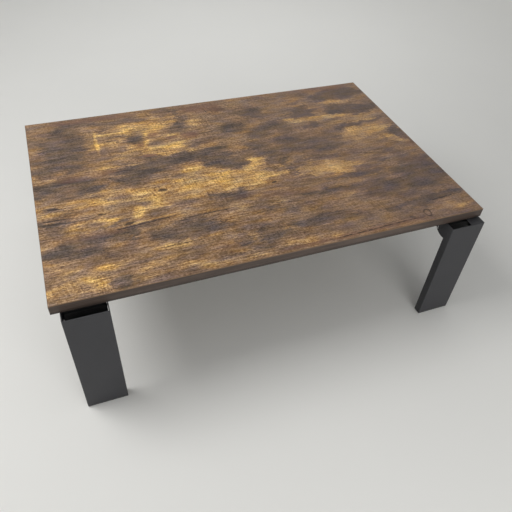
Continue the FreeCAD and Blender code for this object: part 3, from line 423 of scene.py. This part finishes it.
def chip_board(look):
    """Pressed chips: flakes of several tans in random directions."""
    finish = Finish("chip_board", Roughness=0.85)
    place = finish.place()
    cells = {"Vector": place * per_mm(3.2, 3.2, 1.4), "Scale": 1.0, "Randomness": 1.0}
    flakes = finish.node("ShaderNodeTexVoronoi", {"distance": "MANHATTAN"}, cells, "Color")
    tint = finish.node("ShaderNodeSeparateColor", sockets={0: flakes})
    dust = finish.noise(place * per_mm(0.7, 0.7, 0.7), 2.0)
    tone = tint * 0.75 + dust * 0.25
    colour = finish.mix(tone, shade(look.chip_colour, 0.55), shade(look.chip_colour, 1.35))
    return finish.feed(Base_Color=colour, Normal=finish.bump(tint * 0.5 + dust, 0.25 * MM))


def backing_sheet(look):
    """Dark kraft sheet under the top, faintly fibrous."""
    finish = Finish("backing_sheet", Roughness=0.62)
    place = finish.place()
    fibre = finish.noise(place * per_mm(9, 1.6, 5), 3.0, 0.65)
    cloud = finish.noise(place * per_mm(90, 120, 60), 2.0)
    tone = 0.5 + (fibre - 0.5) * 0.8 + (cloud - 0.5) * 0.5
    colour = finish.mix(tone, shade(look.backing_colour, 0.6), shade(look.backing_colour, 1.5))
    return finish.feed(Base_Color=colour, Roughness=0.55 + fibre * 0.2, Normal=finish.bump(fibre, 0.05 * MM))


def black_lacquer(look):
    """Thin black lacquer over solid wood, with the grain's pores showing along the rail."""
    finish = Finish("black_lacquer")
    place = finish.place()
    drift = finish.noise(place * per_mm(120, 120, 60), 2.0, 0.5, 1) - 0.5
    bent = place + drift * (0.03, 0.03, 0.006)
    pores = finish.noise(bent * per_mm(28, 28, 0.9), 3.0, 0.6)
    bands = finish.noise(bent * per_mm(180, 180, 5), 2.0)
    open_pores = pores.step(0.6, 0.72)
    colour = finish.mix(bands * 0.6 + open_pores * 0.4, look.lacquer_colour, shade(look.lacquer_colour, 2.2))
    rough = 0.42 + open_pores * 0.22 + (bands - 0.5) * 0.12
    relief = finish.bump(bands * 0.3 - open_pores, 0.12 * MM)
    return finish.feed(Base_Color=colour, Roughness=rough, Normal=relief)


def powder_coat(name, colour, roughness, pitch, height):
    """Fine orange-peel coat, with a few paler rubbed specks."""
    finish = Finish(name, Specular_IOR_Level=0.28)
    place = finish.place()
    peel = finish.noise(place * per_mm(pitch, pitch, pitch), 2.0, 0.5)
    patch = finish.noise(place * per_mm(60, 60, 110), 3.0, 0.6)
    speck = finish.noise(place * per_mm(1.1, 1.1, 1.1) + 5.2, 1.0).step(0.72, 0.8)
    tone = (patch - 0.5) * 0.8 + speck * 0.25 + 0.4
    dressed = finish.mix(tone, shade(colour, 0.86), shade(colour, 1.22))
    rough = roughness + (peel - 0.5) * 0.1 + (patch - 0.5) * 0.12
    return finish.feed(Base_Color=dressed, Roughness=rough, Normal=finish.bump(peel, height * MM))


def moulded(name, colour, roughness, pitch=0.6):
    """Moulded plastic, rubber or ceramic with a fine spark texture."""
    finish = Finish(name)
    place = finish.place()
    spark = finish.noise(place * per_mm(pitch, pitch, pitch), 2.0, 0.6)
    flow = finish.noise(place * per_mm(25, 25, 12), 2.0)
    dressed = finish.mix(flow * 0.7 + spark * 0.3, shade(colour, 0.82), shade(colour, 1.18))
    rough = roughness + (spark - 0.5) * 0.14 + (flow - 0.5) * 0.08
    return finish.feed(Base_Color=dressed, Roughness=rough, Normal=finish.bump(spark, 0.03 * MM))


def plated(name, colour, roughness, pitch, scratch):
    """Plated or bare metal: clouded plating, drawn scratches along one way."""
    finish = Finish(name, Metallic=1.0)
    place = finish.place()
    lines = finish.noise(place * per_mm(*scratch), 2.0, 0.6)
    cloud = finish.noise(place * per_mm(pitch, pitch, pitch), 3.0, 0.6)
    dressed = finish.mix(cloud * 0.7 + lines * 0.3, shade(colour, 0.78), shade(colour, 1.12))
    rough = roughness + (cloud - 0.5) * 0.2 + (lines - 0.5) * 0.14
    return finish.feed(Base_Color=dressed, Roughness=rough, Normal=finish.bump(lines, 0.01 * MM))


def quartz_glass(look):
    """Clear fused quartz with faint drawing lines along the tube."""
    finish = Finish("quartz_glass", Transmission_Weight=1.0, IOR=1.46)
    place = finish.place()
    drawn = finish.noise(place * per_mm(60, 1.2, 1.2), 2.0)
    colour = finish.mix(drawn, look.quartz_colour, (1.0, 1.0, 1.0))
    return finish.feed(Base_Color=colour, Roughness=0.03 + drawn * 0.05, Normal=finish.bump(drawn, 0.01 * MM))


def dress(names, material):
    """Give one finish to CAD nodes as they are."""
    for name in names:
        mesh = frame["nodes"][name].data
        mesh.materials.clear()
        mesh.materials.append(material)


def merged_arrays(mesh):
    """A mesh's own points without doubles, and its triangles on them, as whole arrays."""
    points = np.empty(len(mesh.vertices) * 3, np.float32)
    mesh.vertices.foreach_get("co", points)
    mesh.calc_loop_triangles()
    faces = np.empty(len(mesh.loop_triangles) * 3, np.int32)
    mesh.loop_triangles.foreach_get("vertices", faces)
    keys = np.round(points.reshape(-1, 3) / MERGE_STEP).astype(np.int64)
    _, first, back = np.unique(keys, axis=0, return_index=True, return_inverse=True)
    faces = back.reshape(-1)[faces].reshape(-1, 3)
    whole = (faces[:, 0] != faces[:, 1]) & (faces[:, 1] != faces[:, 2]) & (faces[:, 2] != faces[:, 0])
    return points.reshape(-1, 3)[first], faces[whole]


def smooth_copy(node, material, flat_angle=0.0):
    """A smooth-shaded copy in a node's stead, without doubles and with faces joined up to an angle."""
    points, faces = merged_arrays(frame["nodes"][node].data)
    mesh = bpy.data.meshes.new(f"{node}_copy")
    mesh.from_pydata(points.tolist(), [], faces.tolist())
    if flat_angle:
        work = bmesh.new()
        work.from_mesh(mesh)
        bmesh.ops.dissolve_limit(work, angle_limit=flat_angle, verts=work.verts, edges=work.edges)
        work.to_mesh(mesh)
        work.free()
    mesh.polygons.foreach_set("use_smooth", np.ones(len(mesh.polygons), bool))
    mesh.set_sharp_from_angle(angle=SHARP_ANGLE)
    mesh.materials.append(material)
    piece = bpy.data.objects.new(f"{node}_finished", mesh)
    bpy.context.scene.collection.objects.link(piece)
    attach(piece, body_of(node))
    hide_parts(node)
    return piece


def soften_all(names, material, width):
    """Copies of several nodes in one finish, whose sharp edges are rolled to a small radius."""
    for name in names:
        roll = smooth_copy(name, material, FLAT_ANGLE).modifiers.new("rolled_edges", "BEVEL")
        roll.width = width
        roll.segments = 2
        roll.limit_method = "ANGLE"
        roll.angle_limit = ROLL_ANGLE
        roll.harden_normals = True
        roll.use_clamp_overlap = True


def shorten_springs(material):
    """Smooth copies, each with a mesh of its own, of the nodes that shorten with a joint."""
    for joint in frame["record"]["behaviour"]["joints"]:
        for part in joint.get("deforming_nodes", ()):
            piece = smooth_copy(part["node"], material)
            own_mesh(piece)


def body_of(node):
    """The body that a node belongs to."""
    return next(body for body, nodes in frame["record"]["behaviour"]["bodies"].items() if node in nodes)


class TopLook(PropertyGroup):
    """Colours and relief of the printed top."""

    ground_colour: FloatVectorProperty(name="Ground", description="Deepest worn patches", subtype="COLOR",
                                       default=(0.056, 0.039, 0.033))
    dark_colour: FloatVectorProperty(name="Dark", description="Dark patches", subtype="COLOR",
                                     default=(0.108, 0.073, 0.057))
    brown_colour: FloatVectorProperty(name="Brown", description="Middle brown", subtype="COLOR",
                                      default=(0.187, 0.113, 0.071))
    tan_colour: FloatVectorProperty(name="Tan", description="Lighter brown", subtype="COLOR",
                                    default=(0.297, 0.177, 0.094))
    ochre_colour: FloatVectorProperty(name="Ochre", description="Golden streaks", subtype="COLOR",
                                      default=(0.458, 0.272, 0.108))
    bright_colour: FloatVectorProperty(name="Bright", description="Palest gold", subtype="COLOR",
                                       default=(0.705, 0.445, 0.152))
    rust_colour: FloatVectorProperty(name="Rust", description="Reddish stains", subtype="COLOR",
                                     default=(0.185, 0.082, 0.052))
    crack_colour: FloatVectorProperty(name="Crack", description="Cracks, pores and knots", subtype="COLOR",
                                      default=(0.028, 0.015, 0.010))
    edge_colour: FloatVectorProperty(name="Edge", description="Middle tone of the edge strips",
                                     subtype="COLOR", default=(0.068, 0.049, 0.040))
    chip_colour: FloatVectorProperty(name="Chips", description="Core board", subtype="COLOR",
                                     default=(0.46, 0.33, 0.20))
    backing_colour: FloatVectorProperty(name="Backing", description="Sheet under the top", subtype="COLOR",
                                        default=(0.150, 0.115, 0.088))
    roughness: FloatProperty(name="Roughness", description="Of the print's lacquer", default=0.4,
                             min=0.0, max=1.0, subtype="FACTOR")
    relief: FloatProperty(name="Relief", description="Depth of the embossed grain", default=0.05 * MM,
                          subtype="DISTANCE")


class LegLook(PropertyGroup):
    """Coat of the legs and what turns and locks them."""

    coat_colour: FloatVectorProperty(name="Coat", description="Black coat of the legs", subtype="COLOR",
                                     default=(0.041, 0.041, 0.045))
    bracket_colour: FloatVectorProperty(name="Bracket", description="Paint of the hinge brackets",
                                        subtype="COLOR", default=(0.020, 0.020, 0.021))
    foot_colour: FloatVectorProperty(name="Foot", description="Plastic of the feet", subtype="COLOR",
                                     default=(0.022, 0.022, 0.023))
    zinc_colour: FloatVectorProperty(name="Zinc", description="Pins, bars, springs and screws",
                                     subtype="COLOR", default=(0.60, 0.60, 0.62))
    coat_roughness: FloatProperty(name="Roughness", description="Of the coat", default=0.52,
                                  min=0.0, max=1.0, subtype="FACTOR")
    edge_roll: FloatProperty(name="Edge roll", description="Radius of the legs' free edges", default=0.5 * MM,
                             subtype="DISTANCE")


class FrameLook(PropertyGroup):
    """Finish of the frame under the top."""

    lacquer_colour: FloatVectorProperty(name="Lacquer", description="Black lacquer", subtype="COLOR",
                                        default=(0.016, 0.015, 0.015))
    rubber_colour: FloatVectorProperty(name="Rubber", description="Pads under the top", subtype="COLOR",
                                       default=(0.030, 0.030, 0.031))
    edge_roll: FloatProperty(name="Edge roll", description="Radius of the rails' edges", default=1.2 * MM,
                             subtype="DISTANCE")


class HeaterLook(PropertyGroup):
    """Finishes of the heater."""

    casing_colour: FloatVectorProperty(name="Casing", description="Heat-proof paint", subtype="COLOR",
                                       default=(0.055, 0.056, 0.058))
    pan_colour: FloatVectorProperty(name="Reflector", description="Polished sheet", subtype="COLOR",
                                    default=(0.86, 0.86, 0.87))
    quartz_colour: FloatVectorProperty(name="Quartz", description="Tint of the tubes", subtype="COLOR",
                                       default=(0.96, 0.93, 0.90))
    wire_colour: FloatVectorProperty(name="Coils", description="Oxidised wire", subtype="COLOR",
                                     default=(0.30, 0.235, 0.20))
    ceramic_colour: FloatVectorProperty(name="Ceramic", description="Holders and fuse", subtype="COLOR",
                                        default=(0.76, 0.73, 0.66))
    guard_colour: FloatVectorProperty(name="Guard", description="Slatted guard", subtype="COLOR",
                                      default=(0.030, 0.030, 0.031))
    brass_colour: FloatVectorProperty(name="Brass", description="Contact pins", subtype="COLOR",
                                      default=(0.80, 0.62, 0.30))
    steel_colour: FloatVectorProperty(name="Steel", description="Thermostat and fuse clip", subtype="COLOR",
                                      default=(0.58, 0.57, 0.55))
    edge_roll: FloatProperty(name="Edge roll", description="Radius of moulded edges", default=0.4 * MM,
                             subtype="DISTANCE")


class StageLook(PropertyGroup):
    """Floor, lamps and camera."""

    floor_colour: FloatVectorProperty(name="Floor", description="Pale floor", subtype="COLOR",
                                      default=(0.80, 0.795, 0.770))
    floor_radius: FloatProperty(name="Radius", description="Of the flat floor", default=3.4,
                                subtype="DISTANCE")
    cove_radius: FloatProperty(name="Cove", description="Of the curve up to the wall", default=1.2,
                               subtype="DISTANCE")
    wall_height: FloatProperty(name="Wall height", description="Top of the wall", default=3.0,
                               subtype="DISTANCE")
    camera_place: FloatVectorProperty(name="Camera", description="Where the camera stands", subtype="XYZ",
                                      default=(-0.4774, -1.2643, 1.3425))
    heading: FloatProperty(name="Heading", description="Camera's turn from +Y towards +X", subtype="ANGLE",
                           default=math.radians(23.494))
    dip: FloatProperty(name="Dip", description="Camera's look below the horizon", subtype="ANGLE",
                       default=math.radians(44.403))
    roll: FloatProperty(name="Roll", description="Camera's turn about its own axis", subtype="ANGLE",
                        default=math.radians(4.288))
    lens: FloatProperty(name="Lens", description="Focal length in millimetres on a 36 mm frame",
                        default=37.29, unit="CAMERA")
    key_power: FloatProperty(name="Key lamp", description="Power of the high lamp at the left", default=38.0,
                             subtype="POWER")
    front_power: FloatProperty(name="Front lamp", description="Power of the low lamp in front", default=27.0,
                               subtype="POWER")
    wall_power: FloatProperty(name="Wall lamp", description="Power of the lamp turned to the wall",
                              default=25.0, subtype="POWER")
    sky_strength: FloatProperty(name="Sky", description="Light from all round", default=0.37)


class LOWTABLE_OT_top(Operator):
    """Finish the loose tabletop: printed face, edge strips, core and backing."""

    bl_idname = "lowtable.top"
    bl_label = "Tabletop"

    def execute(self, context):
        look = context.scene.low_table_top
        edges = [name for name in frame["nodes"] if name.startswith("edge_band")]
        dress(["top_face"], printed_wood(look))
        dress(edges, printed_edge(look))
        dress(["tabletop_core"], chip_board(look))
        dress(["under_face"], backing_sheet(look))
        return {"FINISHED"}


class LOWTABLE_OT_legs(Operator):
    """Finish the legs with their caps and feet, with rolled edges."""

    bl_idname = "lowtable.legs"
    bl_label = "Legs"

    def execute(self, context):
        look = context.scene.low_table_legs
        rough = look.coat_roughness
        coat = powder_coat("leg_coat", look.coat_colour, rough, pitch=0.9, height=0.03)
        cap = powder_coat("cap_plastic", look.coat_colour, rough + 0.06, pitch=0.6, height=0.02)
        foot = moulded("foot_plastic", look.foot_colour, 0.5)
        soften_all([f"leg_{corner}" for corner in CORNERS], coat, look.edge_roll)
        soften_all([name for name in frame["nodes"] if name.startswith("head_cap")], cap, look.edge_roll / 2)
        soften_all([f"foot_glide_{corner}" for corner in CORNERS], foot, look.edge_roll)
        return {"FINISHED"}


class LOWTABLE_OT_hinges(Operator):
    """Finish the hinge brackets, pivot pins, lock bars, springs and all screws."""

    bl_idname = "lowtable.hinges"
    bl_label = "Hinges and screws"

    def execute(self, context):
        look = context.scene.low_table_legs
        paint = powder_coat("bracket_paint", look.bracket_colour, 0.42, pitch=1.4, height=0.02)
        zinc = plated("zinc_plate", look.zinc_colour, 0.36, pitch=9, scratch=(12, 0.5, 0.5))
        worn_zinc = shade(look.zinc_colour, 0.7)
        spring = plated("spring_steel", worn_zinc, 0.34, pitch=3, scratch=(0.4, 0.4, 6))
        soften_all([f"hinge_bracket_{corner}" for corner in CORNERS], paint, look.edge_roll)
        dress([f"{part}_{corner}" for part in ("pivot_pin", "lock_bar") for corner in CORNERS], zinc)
        shorten_springs(spring)
        dress(["bracket_screws", "heater_screws", "guard_screws"], zinc)
        return {"FINISHED"}


class LOWTABLE_OT_frame(Operator):
    """Finish the rails, braces and pads under the top."""

    bl_idname = "lowtable.frame"
    bl_label = "Frame"

    def execute(self, context):
        look = context.scene.low_table_frame
        lacquer = black_lacquer(look)
        wood = [name for name in frame["nodes"] if name.endswith("rail") or name.startswith("corner_brace")]
        soften_all(wood, lacquer, look.edge_roll)
        dress(["top_pads"], moulded("pad_rubber", look.rubber_colour, 0.78, pitch=0.8))
        return {"FINISHED"}


class LOWTABLE_OT_heater(Operator):
    """Finish the heater: casing, reflector, elements, controls, inlet and guard."""

    bl_idname = "lowtable.heater"
    bl_label = "Heater"

    def execute(self, context):
        look = context.scene.low_table_heater
        roll = look.edge_roll
        casing = powder_coat("casing_paint", look.casing_colour, 0.48, pitch=1.2, height=0.03)
        terminal = moulded("terminal_plastic", shade(look.ceramic_colour, 0.9), 0.4)
        sheet = plated("bright_sheet", look.pan_colour, 0.16, pitch=60, scratch=(90, 0.8, 0.8))
        coil = plated("coil_wire", look.wire_colour, 0.5, pitch=4, scratch=(2, 0.6, 0.6))
        steel = plated("control_steel", look.steel_colour, 0.4, pitch=6, scratch=(0.6, 8, 0.6))
        brass = plated("pin_brass", look.brass_colour, 0.28, pitch=5, scratch=(8, 0.4, 0.4))
        soften_all(["heater_casing"], casing, roll)
        soften_all(["guard_grille"], moulded("guard_plastic", look.guard_colour, 0.46), roll)
        soften_all(["inlet_housing"], moulded("inlet_plastic", look.guard_colour, 0.38), roll)
        soften_all(["element_holders"], moulded("ceramic", look.ceramic_colour, 0.6), roll)
        soften_all(["terminal_block"], terminal, roll)
        dress(["reflector"], sheet)
        dress(["quartz_tubes"], quartz_glass(look))
        dress(["heating_coils"], coil)
        dress(["thermal_fuse"], moulded("fuse_glaze", look.ceramic_colour, 0.25))
        dress(["thermostat", "fuse_clip"], steel)
        dress(["inlet_pins"], brass)
        return {"FINISHED"}


def bowl(look, rings=48, spokes=96):
    """The stage as a surface of revolution: a flat floor, a quarter-round cove and a wall.

    A point is (r cos a, r sin a, z), where the profile (r, z) runs along the floor, round the cove and up.
    """
    turn = np.linspace(0.0, math.pi / 2, rings // 3)
    flat = np.linspace(0.0, look.floor_radius, rings // 3, endpoint=False)[1:]
    wall = np.linspace(look.cove_radius, look.wall_height, rings // 3)[1:]
    radius = np.concatenate([flat, look.floor_radius + look.cove_radius * np.sin(turn),
                             np.full(len(wall), look.floor_radius + look.cove_radius)])
    height = np.concatenate([np.zeros(len(flat)), look.cove_radius * (1 - np.cos(turn)), wall])
    angle = np.arange(spokes) * 2 * math.pi / spokes
    ring = np.stack([np.outer(radius, np.cos(angle)), np.outer(radius, np.sin(angle)),
                     np.repeat(height[:, None], spokes, axis=1)], axis=-1)
    points = np.concatenate([[[0.0, 0.0, 0.0]], ring.reshape(-1, 3)])
    here = 1 + np.arange(len(radius) * spokes).reshape(len(radius), spokes)
    after = np.roll(here, -1, axis=1)
    quads = np.stack([here[:-1], here[1:], after[1:], after[:-1]], axis=-1).reshape(-1, 4)
    fan = np.stack([np.zeros(spokes, int), here[0], after[0]], axis=-1)
    mesh = bpy.data.meshes.new("studio_floor")
    mesh.from_pydata(points.tolist(), [], fan.tolist() + quads.tolist())
    mesh.polygons.foreach_set("use_smooth", np.ones(len(mesh.polygons), bool))
    floor = bpy.data.objects.new("studio_floor", mesh)
    bpy.context.scene.collection.objects.link(floor)
    return floor


def floor_paint(look):
    """Matt pale paint, seen only from above, so that the part's underside can be looked at."""
    finish = Finish("floor_paint", Roughness=0.75, Specular_IOR_Level=0.3)
    place = finish.place()
    cloud = finish.noise(place * per_mm(420, 420, 420), 2.0)
    colour = finish.mix(cloud, shade(look.floor_colour, 0.985), shade(look.floor_colour, 1.01))
    finish.feed(Base_Color=colour)
    beneath = finish.node("ShaderNodeNewGeometry", output="Backfacing")
    clear = finish.node("ShaderNodeBsdfTransparent")
    opaque = Wire(finish, finish.shader.outputs["BSDF"])
    both = finish.node("ShaderNodeMixShader", sockets={0: beneath, 1: opaque, 2: clear})
    finish.tree.links.new(both.socket, finish.tree.nodes["Material Output"].inputs["Surface"])
    return finish.material


def lamp(name, place, target, size, power, colour):
    """A square soft lamp aimed at a point."""
    light = bpy.data.lights.new(name, "AREA")
    light.shape = "SQUARE"
    light.size = size
    light.energy = power
    light.color = colour
    holder = bpy.data.objects.new(name, light)
    holder.location = place
    holder.rotation_euler = (Vector(target) - Vector(place)).to_track_quat("-Z", "Y").to_euler()
    holder.visible_camera = False
    bpy.context.scene.collection.objects.link(holder)


class LOWTABLE_OT_stage(Operator):
    """Set the floor, the lamps, the sky and the camera."""

    bl_idname = "lowtable.stage"
    bl_label = "Stage"

    def execute(self, context):
        look = context.scene.low_table_stage
        floor = bowl(look)
        floor.data.materials.append(floor_paint(look))
        for name, place, target, size, power, colour in LAMPS:
            lamp(name, place, target, size, getattr(look, power), colour)
        world = bpy.data.worlds.new("pale_sky")
        world.use_nodes = True
        sky = world.node_tree.nodes["Background"]
        sky.inputs["Color"].default_value = SKY_COLOUR
        sky.inputs["Strength"].default_value = look.sky_strength
        context.scene.world = world
        lens = bpy.data.cameras.new("camera")
        lens.lens = look.lens
        camera = bpy.data.objects.new("camera", lens)
        aim = Euler((math.pi / 2 - look.dip, 0.0, -look.heading)).to_matrix().to_4x4()
        camera.matrix_world = Matrix.Translation(look.camera_place) @ aim @ Matrix.Rotation(look.roll, 4, "Z")
        context.scene.collection.objects.link(camera)
        context.scene.camera = camera
        context.scene.view_settings.view_transform = "Standard"
        return {"FINISHED"}


OPERATORS = (LOWTABLE_OT_top, LOWTABLE_OT_legs, LOWTABLE_OT_hinges, LOWTABLE_OT_frame, LOWTABLE_OT_heater,
             LOWTABLE_OT_stage)
LOOKS = {"low_table_top": TopLook, "low_table_legs": LegLook, "low_table_frame": FrameLook,
         "low_table_heater": HeaterLook, "low_table_stage": StageLook}


class LOWTABLE_PT_pieces(Panel):
    """Buttons for each group of pieces, in the order in which they are made."""

    bl_idname = "LOWTABLE_PT_pieces"
    bl_label = "Low Table"
    bl_space_type = "VIEW_3D"
    bl_region_type = "UI"
    bl_category = "Low Table"

    def draw(self, context):
        for operator in OPERATORS:
            self.layout.operator(operator.bl_idname)
        for name, look in LOOKS.items():
            box = self.layout.box()
            for prop in look.__annotations__:
                box.prop(getattr(context.scene, name), prop)


def register():
    """Add the properties, the operators and the panel."""
    for name, look in LOOKS.items():
        bpy.utils.register_class(look)
        setattr(bpy.types.Scene, name, PointerProperty(type=look))
    for kind in (*OPERATORS, LOWTABLE_PT_pieces):
        bpy.utils.register_class(kind)


def unregister():
    """Take the operators, the panel and the properties away again."""
    for kind in reversed((*OPERATORS, LOWTABLE_PT_pieces)):
        bpy.utils.unregister_class(kind)
    for name, look in LOOKS.items():
        delattr(bpy.types.Scene, name)
        bpy.utils.unregister_class(look)


def main():
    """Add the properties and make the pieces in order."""
    register()
    for operator in OPERATORS:
        group, name = operator.bl_idname.split(".")
        getattr(getattr(bpy.ops, group), name)()


if __name__ == "__main__":
    main()
